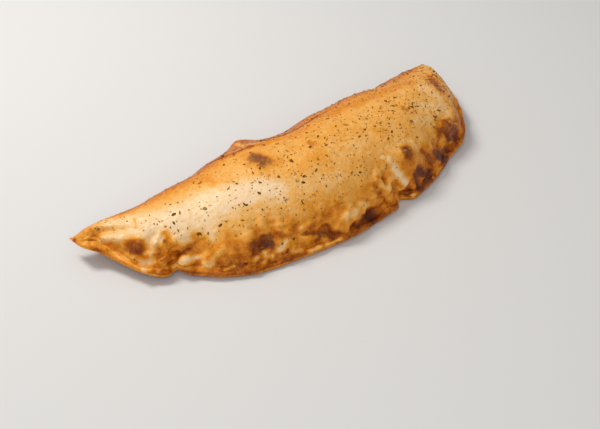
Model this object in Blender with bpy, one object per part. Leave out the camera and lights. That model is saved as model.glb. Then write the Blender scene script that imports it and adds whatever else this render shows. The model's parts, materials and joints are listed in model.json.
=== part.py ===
"""A baked calzone: a disc of dough folded over its filling into a half moon, sealed along the
curved front, puffed in the middle, with both ends curled up and dried herbs on top.

Metres, +Z up. X runs from the pointed end to the blunt one, the sealed edge is towards -Y,
and the origin is the middle of the bounding box on the surface that the food lies on.
"""

import math
import random

import bmesh
import bpy
from mathutils import Matrix, Vector, noise
from mathutils.bvhtree import BVHTree

MM = 0.001

# The folded dough
LENGTH = 321 * MM
WIDTH = 111 * MM
CROWN_HEIGHT = 48.5 * MM
CROWN_PLACE = 0.47
CROWN_THINNING = 0.93
DOME_POWER = 0.60
SOFT_DOME_POWER = 0.78
POINT_DOME_POWER = 1.15
LEAST_CROWN = 1.05
POINTED_END = 1.65
BLUNT_END = 3.0
END_CHANGE = (-0.4, 0.5)
POINT_DOME_CHANGE = (0.08, 0.24)
DOME_CHANGE = (0.25, 0.50)
FRONT_BULGE = 0.6

# The sealed edge, wide at the pointed end and narrow at the blunt one
RIM_THICKNESS = 5.5 * MM
RIM_WIDTH = 6 * MM
NARROW_RIM_WIDTH = 4.5 * MM
RIM_CHANGE = (0.40, 0.56)
WIDEST_RIM_SHARE = 0.28
THICKEST_RIM_SHARE = 0.30
RIM_LEDGE = 0.75
RIM_THINNING = 0.12
RIM_UNDERCUT = 0.55

# The hollow between the dome and the sealed edge, softer at the pointed end
CREASE_BLUR = 0.030
SOFT_CREASE_BLUR = 0.055
CREASE_REACH = 0.075
CREASE_STEPS = ((-1.0, 1), (-0.5, 2), (0.0, 3), (0.5, 2), (1.0, 1))

# The folded back: how far it bellies out, and how high its widest line runs
FOLD_LINE = -6 * MM
FOLD_EVENNESS = 0.5
FOLD_SQUARENESS = 8
FOLD_CONTACT = 0.20
BELLY_HEIGHT = 0.36

# Both ends curl up off the surface: height, share of the length, and how late the curl begins
POINT_LIFT = 16.5 * MM
CORNER_LIFT = 17 * MM
LIFT_REACH = 0.32
LIFT_POWER = 1.6
END_DROOP = 3 * MM

# The pointed end nods over at its very tip: by how much, and over what share of the length
POINT_DROOP = 4 * MM
DROOP_REACH = 0.035

# Waves of the sealed edge: place along it, depth inwards, spread along it
SEAM_WAVES = (
    (0.035, -3.0 * MM, 0.030),
    (0.112, 8.6 * MM, 0.042),
    (0.175, -4.4 * MM, 0.040),
    (0.262, 0.8 * MM, 0.030),
    (0.330, -6.4 * MM, 0.070),
    (0.490, -0.8 * MM, 0.030),
    (0.600, 1.2 * MM, 0.040),
    (0.705, 4.2 * MM, 0.050),
    (0.795, -3.8 * MM, 0.050),
    (0.865, -3.0 * MM, 0.035),
)

# Nicks that the edge alone has, where the dough was pinched, in the same terms
SEAM_NICKS = (
    (0.205, -1.2 * MM, 0.020),
    (0.232, 5.8 * MM, 0.012),
    (0.583, 5.5 * MM, 0.011),
    (0.605, -1.5 * MM, 0.015),
)
PINCH_REACH = (0.655, 0.870)

# Waves of the folded back: place as a share of half the length, reach outwards, spread
FOLD_WAVES = (
    (-0.66, -2.2 * MM, 0.14),
    (-0.45, -0.8 * MM, 0.10),
    (-0.27, 3.2 * MM, 0.12),
    (0.00, -8.6 * MM, 0.12),
    (0.16, -2.6 * MM, 0.10),
    (0.30, -1.8 * MM, 0.12),
    (0.56, -4.2 * MM, 0.14),
    (0.93, -0.6 * MM, 0.08),
)

# The crumpled ear that stands out of the back just below its shoulder, in the same terms
EAR_WAVES = (
    (-0.150, 7.0 * MM, 0.050),
    (-0.030, 2.5 * MM, 0.150),
)
EAR_PLACE = 0.275
EAR_SPREAD = 0.024
EAR_RISE = 0.15

# Shares of the way round a rib at which its stretches end
UNDERSIDE_END = 0.125
BELLY_END = 0.225
SHOULDER_END = 0.475
FRONT_END = 0.850
RIM_END = 0.925

# Blisters and dimples: centre, radius, height (below zero is a dimple), all in millimetres
BLISTERS = (
    ((-134.0, -44.0, 20.5), 7.0, 2.0),
    ((-120.0, -57.0, 17.0), 8.0, 1.6),
    ((-114.5, -67.0, 10.0), 6.5, 2.4),
    ((-99.5, -70.0, 17.5), 8.0, -1.4),
    ((-84.0, -82.0, 11.5), 9.0, 1.8),
    ((-69.0, -87.5, 11.5), 7.5, -2.2),
    ((-55.0, -93.0, 9.5), 6.0, 2.0),
    ((-42.0, -48.5, 46.0), 10.0, 1.0),
    ((-26.0, -101.5, 8.5), 7.5, -1.8),
    ((-12.0, -102.5, 10.5), 9.0, 2.2),
    ((10.5, -103.5, 7.5), 9.0, -1.8),
    ((28.0, -101.0, 13.0), 6.5, 1.6),
    ((55.5, -93.0, 25.5), 10.0, 2.2),
    ((64.5, -99.5, 8.0), 8.0, 1.0),
    ((90.5, -91.5, 8.0), 9.0, 1.8),
    ((114.0, -81.0, 14.5), 9.0, -1.6),
    ((133.0, -42.0, 31.5), 10.0, -2.0),
)

# Pleats and valleys, each along a line: start, end, half width, height, all in millimetres
PLEATS = (
    ((-145.5, -19.5, 21.5), (-134.5, -30.5, 26.5), 3.5, -2.2),
    ((-148.0, -21.0, 18.5), (-139.5, -34.5, 22.0), 3.0, 1.4),
    ((-114.5, -51.0, 27.5), (-129.5, -54.5, 17.0), 2.4, 2.2),
    ((-129.5, -54.5, 17.0), (-135.0, -56.0, 9.5), 2.4, 1.8),
    ((-118.0, -48.5, 28.5), (-128.5, -51.0, 21.0), 3.6, -2.2),
    ((-128.5, -51.0, 21.0), (-134.5, -52.5, 13.5), 3.2, -1.6),
    ((-103.5, -64.0, 19.0), (-115.5, -60.5, 12.5), 3.6, -2.4),
    ((-115.5, -60.5, 12.5), (-124.0, -63.5, 10.0), 3.2, -2.2),
    ((-100.0, -75.0, 8.5), (-91.0, -77.0, 16.5), 3.5, 1.6),
    ((31.0, -96.0, 22.0), (38.0, -103.5, 7.0), 4.0, -2.4),
    ((37.5, -91.5, 28.5), (45.5, -100.0, 12.5), 4.0, 1.6),
    ((70.0, -92.0, 24.0), (78.0, -96.5, 8.0), 4.5, -2.0),
    ((103.0, -79.5, 22.5), (119.0, -71.0, 20.5), 4.0, 1.4),
)

# Slow unevenness of the baked skin
SWELL_HEIGHT = 0.8 * MM
SWELL_SIZE = 24 * MM

# The skin rises and falls where it faces up or sideways: limits of its normal's Z
SKIN_FACING = (-0.5, 0.1)

# Mesh of the dough: points round a rib, and ribs along the length
RIB_POINTS = 40
RIBS = 82

# The flat spot it rests on: five-sided between these ribs, its sides bowed inwards
REST_RIBS = (26, 41, 56)
REST_BOW = 1.0 * MM

# Dried herb flakes that lie in the crust
FLAKE_COUNT = 84
FLAKE_LENGTH = (3.0 * MM, 4.6 * MM)
FLAKE_WIDTH = (1.5 * MM, 2.4 * MM)
FLAKE_THICKNESS = 1.9 * MM
FLAKE_PROUD = 0.65 * MM
FLAKE_SIDES = 5
FLAKE_TAPER = 0.84
FLAKE_UNEVENNESS = 0.18
FLAKE_SPACING = 7.0 * MM
FLAKE_SEED = 11

# Where the flakes lie: shares of the length and of the way round a rib, and how they thin out
FLAKE_STRETCH = (0.17, 0.90)
FLAKE_BAND = (0.325, 0.750)
FLAKE_THINNING = (0.15, 0.50)
FEWEST_FLAKES = 0.30

# Even steps that fill a square without a pattern
EVEN_STEP_ALONG = 0.7549
EVEN_STEP_ROUND = 0.5698

SHARP_ANGLE = 40

CRUST_COLOUR = (0.72, 0.40, 0.13, 1.0)


def mix(first, second, share):
    return first + (second - first) * share


def smooth(low, high, value):
    share = min(max((value - low) / (high - low), 0.0), 1.0)
    return share * share * (3 - 2 * share)


def bell(value, centre, spread):
    return math.exp(-((value - centre) / spread) ** 2)


def waves(value, rows):
    return sum(height * bell(value, centre, spread) for centre, height, spread in rows)


def seam_point(along):
    """The sealed edge seen from above, from the pointed end (0) to the blunt end (1)."""
    across = -math.cos(math.pi * along)
    power = mix(POINTED_END, BLUNT_END, smooth(*END_CHANGE, across))
    depth = math.sqrt(max(1 - abs(across) ** power, 0.0))
    return Vector((across * LENGTH / 2, -WIDTH * depth, 0))


def fold_share(along):
    """Where a rib's back stands along the length, from -1 to 1."""
    return mix(-math.cos(math.pi * along), 2 * along - 1, FOLD_EVENNESS)


def fold_point(along):
    """The folded back seen from above, over the same stretch."""
    across = fold_share(along)
    depth = math.sqrt(max(1 - across ** FOLD_SQUARENESS, 0.0))
    return Vector((across * LENGTH / 2, FOLD_LINE * depth, 0))


def curl(distance):
    """How far up an end has curled, at a share of the length from it: 1 at the end itself."""
    return max(1 - distance / LIFT_REACH, 0.0) ** LIFT_POWER


class Rib:
    """One cross-section of the dough, from the folded back to the sealed edge."""

    def __init__(self, along):
        across = fold_share(along)
        plain_width = (seam_point(along) - fold_point(along)).length
        self.fold = fold_point(along) + Vector((0, waves(across, FOLD_WAVES), 0))
        reach = seam_point(along) + Vector((0, waves(along, SEAM_WAVES), 0)) - self.fold
        self.width = max(reach.length, 1e-6)
        self.forward = reach / self.width
        rim = mix(RIM_WIDTH, NARROW_RIM_WIDTH, smooth(*RIM_CHANGE, along))
        self.rim = min(rim, WIDEST_RIM_SHARE * self.width)
        self.thickness = min(RIM_THICKNESS, THICKEST_RIM_SHARE * self.width)
        crown = CROWN_HEIGHT * (plain_width / WIDTH) ** CROWN_THINNING
        self.crown = max(crown, self.thickness * LEAST_CROWN)
        self.nick = waves(along, SEAM_NICKS)
        self.ear = waves(across, EAR_WAVES)
        point_power = mix(POINT_DOME_POWER, SOFT_DOME_POWER, smooth(*POINT_DOME_CHANGE, along))
        self.dome_power = mix(point_power, DOME_POWER, smooth(*DOME_CHANGE, along))
        self.blur = mix(SOFT_CREASE_BLUR, CREASE_BLUR, smooth(*DOME_CHANGE, along))
        self.lift = POINT_LIFT * curl(along) + CORNER_LIFT * curl(1 - along)
        self.lift -= POINT_DROOP * bell(along, 0, DROOP_REACH)
        self.base_front = self.width - RIM_UNDERCUT * self.rim
        self.base_back = FOLD_CONTACT * self.width

    def profile(self, turn):
        """Distance from the fold and height, at a share of the way round the section."""
        belly = BELLY_HEIGHT * self.crown
        crest = CROWN_PLACE * self.width
        crease = self.width - self.rim
        if turn < UNDERSIDE_END:
            share = turn / UNDERSIDE_END
            return mix(self.base_front, self.base_back, share), 0.0
        if turn < BELLY_END:
            angle = (turn - UNDERSIDE_END) / (BELLY_END - UNDERSIDE_END) * math.pi / 2
            return self.base_back * (1 - math.sin(angle)), belly * (1 - math.cos(angle))
        if turn < SHOULDER_END:
            angle = (turn - BELLY_END) / (SHOULDER_END - BELLY_END) * math.pi / 2
            return crest * (1 - math.cos(angle)), mix(belly, self.crown, math.sin(angle))
        if turn < FRONT_END:
            share = (turn - SHOULDER_END) / (FRONT_END - SHOULDER_END)
            share = mix(share, math.sin(share * math.pi / 2), FRONT_BULGE)
            fall = (1 - share * share) ** self.dome_power
            return mix(crest, crease, share), mix(self.thickness, self.crown, fall)
        if turn < RIM_END:
            share = (turn - FRONT_END) / (RIM_END - FRONT_END)
            height = self.thickness * (1 - RIM_THINNING * share * share)
            return crease + RIM_LEDGE * self.rim * share, height
        share = (turn - RIM_END) / (1 - RIM_END)
        lip = 1 - RIM_LEDGE
        outer = self.width - lip * self.rim * (1 - math.sin(share * math.pi))
        height = (1 - RIM_THINNING) * self.thickness * (1 + math.cos(share * math.pi)) / 2
        return mix(outer, self.base_front, smooth(0.5, 1, share)), height

    def soft_profile(self, turn):
        """The same with its crease rounded, as an average over a short stretch there."""
        reach = self.blur * bell(turn, FRONT_END, CREASE_REACH)
        points = [(self.profile(turn + step * reach), weight) for step, weight in CREASE_STEPS]
        total = sum(weight for _, weight in points)
        distance = sum(point[0] * weight for point, weight in points) / total
        height = sum(point[1] * weight for point, weight in points) / total
        return distance, height

    def point(self, turn):
        distance, height = self.soft_profile(turn)
        ear = self.ear * bell(turn, EAR_PLACE, EAR_SPREAD)
        if turn < UNDERSIDE_END:
            pinched = 1 - smooth(0, UNDERSIDE_END, turn)
        else:
            pinched = smooth(*PINCH_REACH, turn)
        place = self.fold + self.forward * (distance - ear - self.nick * pinched)
        place.z = height + ear * EAR_RISE + self.lift
        return place

    def reach_line(self, start, end):
        """How far from its fold this rib crosses the line from start to end, seen from above."""
        side = (end - start).xy
        return (start - self.fold).xy.cross(side) / self.forward.xy.cross(side)


def flatten_base(ribs):
    """Draws the underside's edges in to straight lines between the resting ribs."""
    fronts = {}
    backs = {}
    for number in REST_RIBS:
        rib = ribs[number]
        fronts[number] = rib.fold + rib.forward * rib.base_front
        backs[number] = rib.fold + rib.forward * rib.base_back
    for first, last in zip(REST_RIBS, REST_RIBS[1:]):
        for number in range(first + 1, last):
            share = (number - first) / (last - first)
            bow = REST_BOW * math.sin(share * math.pi)
            ribs[number].base_front = ribs[number].reach_line(fronts[first], fronts[last]) - bow
    first, last = REST_RIBS[0], REST_RIBS[-1]
    for number in range(first + 1, last):
        share = (number - first) / (last - first)
        bow = REST_BOW * math.sin(share * math.pi)
        ribs[number].base_back = ribs[number].reach_line(backs[first], backs[last]) + bow


def line_distance(place, start, end):
    run = end - start
    share = min(max((place - start).dot(run) / run.length_squared, 0.0), 1.0)
    return (place - start - run * share).length


def relief(place):
    """How far the baked skin stands out of the plain rolled shape."""
    height = SWELL_HEIGHT * noise.noise(place / SWELL_SIZE)
    for centre, radius, rise in BLISTERS:
        height += rise * MM * bell((place - Vector(centre) * MM).length, 0, radius * MM)
    for start, end, spread, rise in PLEATS:
        distance = line_distance(place, Vector(start) * MM, Vector(end) * MM)
        height += rise * MM * bell(distance, 0, spread * MM)
    return height


def roll_dough(mesh):
    """Turns each ring of a ball into a rib, and its poles into the two ends."""
    ribs = {number: Rib(number / RIBS) for number in range(1, RIBS)}
    flatten_base(ribs)
    for vertex in mesh.verts:
        level = math.acos(max(-1.0, min(1.0, -vertex.co.z))) / math.pi
        ring = round(level * RIBS)
        turn = (math.atan2(vertex.co.y, vertex.co.x) / (2 * math.pi)) % 1.0
        if ring in (0, RIBS):
            lift = POINT_LIFT - POINT_DROOP if ring == 0 else CORNER_LIFT
            vertex.co = seam_point(ring / RIBS) + Vector((0, 0, lift - END_DROOP))
            continue
        vertex.co = ribs[ring].point(round(turn * RIB_POINTS) % RIB_POINTS / RIB_POINTS)


def bake_dough(mesh):
    """Raises blisters and pleats along the normals, and leaves the underside flat."""
    mesh.normal_update()
    moves = []
    for vertex in mesh.verts:
        exposed = smooth(*SKIN_FACING, vertex.normal.z)
        moves.append((vertex, vertex.normal * relief(vertex.co) * exposed))
    for vertex, move in moves:
        vertex.co += move


def make_crust(collection, material):
    mesh = bmesh.new()
    bmesh.ops.create_uvsphere(mesh, u_segments=RIB_POINTS, v_segments=RIBS, radius=1.0)
    roll_dough(mesh)
    bake_dough(mesh)
    bmesh.ops.recalc_face_normals(mesh, faces=mesh.faces)
    data = bpy.data.meshes.new("calzone")
    mesh.to_mesh(data)
    mesh.free()
    data.materials.append(material)
    crust = bpy.data.objects.new("calzone", data)
    collection.objects.link(crust)
    return crust


def flake_places(skin, chance):
    """Spots on the upper crust, spread evenly and closer together on the blunt two thirds."""
    places = []
    step = 0
    while len(places) < FLAKE_COUNT:
        step += 1
        along = mix(*FLAKE_STRETCH, (step * EVEN_STEP_ALONG) % 1.0)
        turn = mix(*FLAKE_BAND, (step * EVEN_STEP_ROUND) % 1.0)
        if chance.random() > mix(FEWEST_FLAKES, 1.0, smooth(*FLAKE_THINNING, along)):
            continue
        guide = Rib(along).point(turn)
        spot, normal, _, _ = skin.find_nearest(guide)
        if all((spot - other).length > FLAKE_SPACING for other, _ in places):
            places.append((spot, normal))
    return places


def make_flake(collection, material, name, spot, normal, chance):
    """A thin crooked chip of leaf, set into the crust so that its top stands proud."""
    mesh = bmesh.new()
    bmesh.ops.create_cone(
        mesh, cap_ends=True, segments=FLAKE_SIDES,
        radius1=0.5, radius2=0.5 * FLAKE_TAPER, depth=FLAKE_THICKNESS
    )
    length = chance.uniform(*FLAKE_LENGTH)
    width = chance.uniform(*FLAKE_WIDTH)
    for vertex in mesh.verts:
        vertex.co.x *= length * chance.uniform(1 - FLAKE_UNEVENNESS, 1 + FLAKE_UNEVENNESS)
        vertex.co.y *= width * chance.uniform(1 - FLAKE_UNEVENNESS, 1 + FLAKE_UNEVENNESS)
    upright = normal.to_track_quat("Z", "X").to_matrix().to_4x4()
    spin = Matrix.Rotation(chance.uniform(0, 2 * math.pi), 4, "Z")
    sunk = Matrix.Translation(spot - normal * (FLAKE_THICKNESS / 2 - FLAKE_PROUD))
    bmesh.ops.transform(mesh, matrix=sunk @ upright @ spin, verts=mesh.verts)
    data = bpy.data.meshes.new(name)
    mesh.to_mesh(data)
    mesh.free()
    data.materials.append(material)
    collection.objects.link(bpy.data.objects.new(name, data))


def fuse_herbs(crust, material):
    """Joins the herb flakes to the crust with one union."""
    chance = random.Random(FLAKE_SEED)
    collection = bpy.data.collections.new("herb flakes")
    bpy.context.scene.collection.children.link(collection)
    solid = bmesh.new()
    solid.from_mesh(crust.data)
    skin = BVHTree.FromBMesh(solid)
    for index, (spot, normal) in enumerate(flake_places(skin, chance)):
        make_flake(collection, material, f"flake_{index}", spot, normal, chance)
    solid.free()

    union = crust.modifiers.new("herbs", "BOOLEAN")
    union.operation = "UNION"
    union.operand_type = "COLLECTION"
    union.collection = collection
    union.solver = "EXACT"
    bpy.context.view_layer.update()
    evaluated = crust.evaluated_get(bpy.context.evaluated_depsgraph_get())
    fused = bpy.data.meshes.new_from_object(evaluated)
    crust.modifiers.remove(union)
    crust.data = fused
    for flake in list(collection.objects):
        bpy.data.objects.remove(flake)
    bpy.data.collections.remove(collection)


def rest_at_origin(crust):
    """Moves the mesh so that the middle of its box, at the bottom, is the origin."""
    corners = [vertex.co for vertex in crust.data.vertices]
    low = Vector([min(corner[axis] for corner in corners) for axis in range(3)])
    high = Vector([max(corner[axis] for corner in corners) for axis in range(3)])
    middle = Vector(((low.x + high.x) / 2, (low.y + high.y) / 2, low.z))
    crust.data.transform(Matrix.Translation(-middle))


def baked_crust_material():
    material = bpy.data.materials.new("baked crust")
    material.use_nodes = True
    surface = material.node_tree.nodes["Principled BSDF"]
    surface.inputs["Base Color"].default_value = CRUST_COLOUR
    surface.inputs["Roughness"].default_value = 0.55
    surface.inputs["Metallic"].default_value = 0.0
    material.diffuse_color = CRUST_COLOUR
    return material


def main():
    for old in list(bpy.data.objects):
        bpy.data.objects.remove(old)
    collection = bpy.data.collections.new("calzone")
    bpy.context.scene.collection.children.link(collection)
    material = baked_crust_material()
    crust = make_crust(collection, material)
    fuse_herbs(crust, material)
    rest_at_origin(crust)
    crust.data.shade_smooth()
    crust.data.set_sharp_from_angle(angle=math.radians(SHARP_ANGLE))


main()
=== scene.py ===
import itertools
import json
import math

import bpy
import numpy as np
from mathutils import Matrix, Vector, noise

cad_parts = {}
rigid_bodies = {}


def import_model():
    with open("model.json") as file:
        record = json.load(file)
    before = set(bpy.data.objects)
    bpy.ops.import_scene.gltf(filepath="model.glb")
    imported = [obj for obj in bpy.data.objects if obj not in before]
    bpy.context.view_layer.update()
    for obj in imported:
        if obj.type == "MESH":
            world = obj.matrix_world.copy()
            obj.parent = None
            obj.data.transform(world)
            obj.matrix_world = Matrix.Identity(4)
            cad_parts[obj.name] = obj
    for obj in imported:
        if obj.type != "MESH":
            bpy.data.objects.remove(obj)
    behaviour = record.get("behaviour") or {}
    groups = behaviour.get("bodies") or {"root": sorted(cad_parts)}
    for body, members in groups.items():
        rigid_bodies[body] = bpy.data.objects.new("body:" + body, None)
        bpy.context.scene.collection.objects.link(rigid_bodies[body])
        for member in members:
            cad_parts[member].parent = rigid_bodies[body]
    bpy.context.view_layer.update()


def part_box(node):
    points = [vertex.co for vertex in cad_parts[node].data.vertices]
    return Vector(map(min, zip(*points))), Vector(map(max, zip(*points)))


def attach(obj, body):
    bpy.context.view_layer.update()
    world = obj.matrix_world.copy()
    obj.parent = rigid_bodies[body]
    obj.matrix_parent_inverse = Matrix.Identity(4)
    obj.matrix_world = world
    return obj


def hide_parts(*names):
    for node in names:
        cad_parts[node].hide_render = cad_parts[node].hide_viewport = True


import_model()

mm = 0.001


# small helpers

def say(stage):
    print("calzone:", stage)


def clearSelection():
    for thing in bpy.context.view_layer.objects:
        thing.select_set(False)
    bpy.context.view_layer.objects.active = None


def mix(first, second, share):
    return first + (second - first) * share


def smooth(low, high, value):
    share = np.clip((value - low) / (high - low), 0, 1)
    return share * share * (3 - 2 * share)


def bell(value, centre, spread):
    return np.exp(-((value - centre) / spread) ** 2)


def waves(value, rows):
    return sum(height * bell(value, centre, spread) for centre, height, spread in rows)


def lumps(points, size, shift=(0, 0, 0)):  # smooth noise, -1 to 1, in lumps about `size` millimetres wide
    offset = Vector(shift)
    return np.array([noise.noise(Vector(point) / size + offset) for point in points])


def threeLumps(points, size, shifts):  # three such noises side by side
    return np.stack([lumps(points, size, shift) for shift in np.diag(shifts)], 1)


def readVectors(mesh, name):
    flat = np.zeros(len(mesh.vertices) * 3, np.float32)
    mesh.vertices.foreach_get(name, flat)
    return flat.reshape(-1, 3).astype(float)


def writePoints(mesh, points):
    mesh.vertices.foreach_set("co", points.astype(np.float32).ravel())
    mesh.update()


# the folded dough: everything here is in millimetres, and the form follows the solid's

dough = {
    "length": 321, "width": 111,
    "crownHeight": 48.5, "crownPlace": 0.47, "crownThinning": 0.93, "leastCrown": 1.05,
    "domePower": 0.60, "softDomePower": 0.78, "pointDomePower": 1.15, "cornerDomePower": 1.0,
    "pointDomeChange": (0.08, 0.24), "domeChange": (0.25, 0.50), "cornerDomeChange": (0.80, 0.92),
    "frontBulge": 0.6,
    "pointedEnd": 1.65, "bluntEnd": 3.0, "endChange": (-0.4, 0.5),
    "rimThickness": 5.5, "rimWidth": 6, "narrowRimWidth": 4.5, "rimChange": (0.40, 0.56),
    "thickestRim": 0.30, "widestRim": 0.28,  # shares of a rib's width
    "ledge": 0.75, "lip": 0.25, "undercut": 0.55, "tuck": 0.30,  # stretches of the sealed edge, by its width
    "ledgeFall": 0.12, "lipHeight": 0.44,  # its heights, by its thickness
    "creaseBlur": 0.030, "softCreaseBlur": 0.055, "creaseReach": 0.075,
    "creaseSteps": {-1: 1, -0.75: 2, -0.5: 3, -0.25: 4, 0: 5, 0.25: 4, 0.5: 3, 0.75: 2, 1: 1},
    "foldLine": -6, "foldContact": 0.20, "bellyHeight": 0.36, "foldEvenness": 0.5, "foldSquareness": 8,
    "pointLift": 16.5, "cornerLift": 17, "liftReach": 0.32, "liftPower": 1.6, "endDroop": 3,
    "pointDroop": 4, "droopReach": 0.035,
    "earPlace": 0.275, "earSpread": 0.024, "earDroop": -0.15,
    "pinchReach": (0.655, 0.870),
    "swell": 0.8, "swellSize": 24,  # slow unevenness
    "seamWaves": [  # place along the edge, depth inwards, spread
        (0.035, -3.0, 0.030), (0.112, 8.6, 0.042), (0.175, -4.4, 0.040), (0.262, 0.8, 0.030),
        (0.330, -6.4, 0.070), (0.490, -0.8, 0.030), (0.600, 1.2, 0.040), (0.705, 4.2, 0.050),
        (0.795, -3.8, 0.050), (0.865, -3.0, 0.035)],
    "seamNicks": [
        (0.205, -1.2, 0.020), (0.232, 5.8, 0.012), (0.583, 5.5, 0.011), (0.605, -1.5, 0.015)],
    "foldWaves": [
        (-0.66, -2.2, 0.14), (-0.45, -0.8, 0.10), (-0.27, 3.2, 0.12), (0.00, -8.6, 0.12),
        (0.16, -2.6, 0.10), (0.30, -1.8, 0.12), (0.56, -4.2, 0.14), (0.93, -0.6, 0.08)],
    "earWaves": [(-0.150, 7.0, 0.050), (-0.030, 2.5, 0.150)],
    # the stretches round a rib, as shares at which they end
    "underside": 0.125, "belly": 0.225, "shoulder": 0.475, "front": 0.850, "rim": 0.925, "lipEnd": 1,
    "meshStops": (0, 0.055, 0.150, 0.400, 0.840, 0.910, 1),  # the same stretches, finer where it shows
    "rings": 400, "segments": 240,
}


def stretch(turn, first, last):  # how far a turn is from one stop to another, from 0 to 1
    return (turn - dough[first]) / (dough[last] - dough[first])


def seamLine(along):
    across = -np.cos(np.pi * along)
    power = mix(dough["pointedEnd"], dough["bluntEnd"], smooth(*dough["endChange"], across))
    depth = np.sqrt(np.maximum(1 - np.abs(across) ** power, 0))
    return np.stack([across * dough["length"] / 2, -dough["width"] * depth], 1)


def foldShare(along):
    return mix(-np.cos(np.pi * along), 2 * along - 1, dough["foldEvenness"])


def foldLine(along):
    across = foldShare(along)
    depth = np.sqrt(np.maximum(1 - across ** dough["foldSquareness"], 0))
    return np.stack([across * dough["length"] / 2, dough["foldLine"] * depth], 1)


def ribProfile(along, turn, width, plain):  # distance from the fold and height, part of the way round a rib
    d = dough
    rim = mix(d["rimWidth"], d["narrowRimWidth"], smooth(*d["rimChange"], along))
    rim = np.minimum(rim, d["widestRim"] * width)
    thick = np.minimum(d["rimThickness"], d["thickestRim"] * width)
    crown = d["crownHeight"] * (plain / d["width"]) ** d["crownThinning"]
    crown = np.maximum(crown, thick * d["leastCrown"])
    belly = d["bellyHeight"] * crown
    contact = d["foldContact"] * width
    crest = d["crownPlace"] * width
    crease = width - rim
    domePower = mix(d["pointDomePower"], d["softDomePower"], smooth(*d["pointDomeChange"], along))
    domePower = mix(domePower, d["domePower"], smooth(*d["domeChange"], along))
    domePower = mix(domePower, d["cornerDomePower"], smooth(*d["cornerDomeChange"], along))

    flat = turn / d["underside"]
    under = stretch(turn, "underside", "belly") * np.pi / 2
    up = stretch(turn, "belly", "shoulder") * np.pi / 2
    down = np.clip(stretch(turn, "shoulder", "front"), 0, 1)
    down = mix(down, np.sin(down * np.pi / 2), d["frontBulge"])
    ledge = stretch(turn, "front", "rim")
    edge = stretch(turn, "rim", "lipEnd")
    rounding = d["lip"] * rim * np.sin(edge * np.pi) - d["tuck"] * rim * smooth(0.5, 1, edge)
    where = [turn < d[stop] for stop in ("underside", "belly", "shoulder", "front", "rim")]
    distance = np.select(where, [
        mix(width - d["undercut"] * rim, contact, flat), contact * (1 - np.sin(under)),
        crest * (1 - np.cos(up)), mix(crest, crease, down), crease + d["ledge"] * rim * ledge],
        width - d["lip"] * rim + rounding)
    height = np.select(where, [
        0 * width, belly * (1 - np.cos(under)), mix(belly, crown, np.sin(up)),
        mix(thick, crown, (1 - down ** 2) ** domePower), thick * (1 - d["ledgeFall"] * ledge ** 2)],
        d["lipHeight"] * thick * (1 + np.cos(edge * np.pi)))
    return distance, height


def curl(distance):  # how far up an end has curled: 1 at the end itself
    return np.maximum(1 - distance / dough["liftReach"], 0) ** dough["liftPower"]


def rollDough(along, turn):  # a point of the plain rolled shape: rib `along`, `turn` round it
    d = dough
    across = foldShare(along)
    plain = np.linalg.norm(seamLine(along) - foldLine(along), axis=1)
    fold = foldLine(along)
    fold[:, 1] += waves(across, d["foldWaves"])
    reach = seamLine(along)
    reach[:, 1] += waves(along, d["seamWaves"])
    reach -= fold
    width = np.maximum(np.linalg.norm(reach, axis=1), 0.001)
    forward = reach / width[:, None]

    # the hollow before the sealed edge is rounded by averaging over a short stretch
    blur = mix(d["softCreaseBlur"], d["creaseBlur"], smooth(*d["domeChange"], along))
    blur = blur * bell(turn, d["front"], d["creaseReach"])
    total = sum(d["creaseSteps"].values())
    distance, height = 0, 0
    for step, weight in d["creaseSteps"].items():
        there = ribProfile(along, turn + step * blur, width, plain)
        distance = distance + there[0] * weight / total
        height = height + there[1] * weight / total

    lift = d["pointLift"] * curl(along) + d["cornerLift"] * curl(1 - along)
    lift -= d["pointDroop"] * bell(along, 0, d["droopReach"])
    ear = waves(across, d["earWaves"]) * bell(turn, d["earPlace"], d["earSpread"])
    below = turn < d["underside"]
    pinched = np.where(below, 1 - smooth(0, d["underside"], turn), smooth(*d["pinchReach"], turn))
    distance = distance - ear - waves(along, d["seamNicks"]) * pinched
    place = np.zeros((len(along), 3))
    place[:, :2] = fold + forward * distance[:, None]
    place[:, 2] = np.maximum(height - ear * d["earDroop"], 0) + lift
    return place


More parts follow.
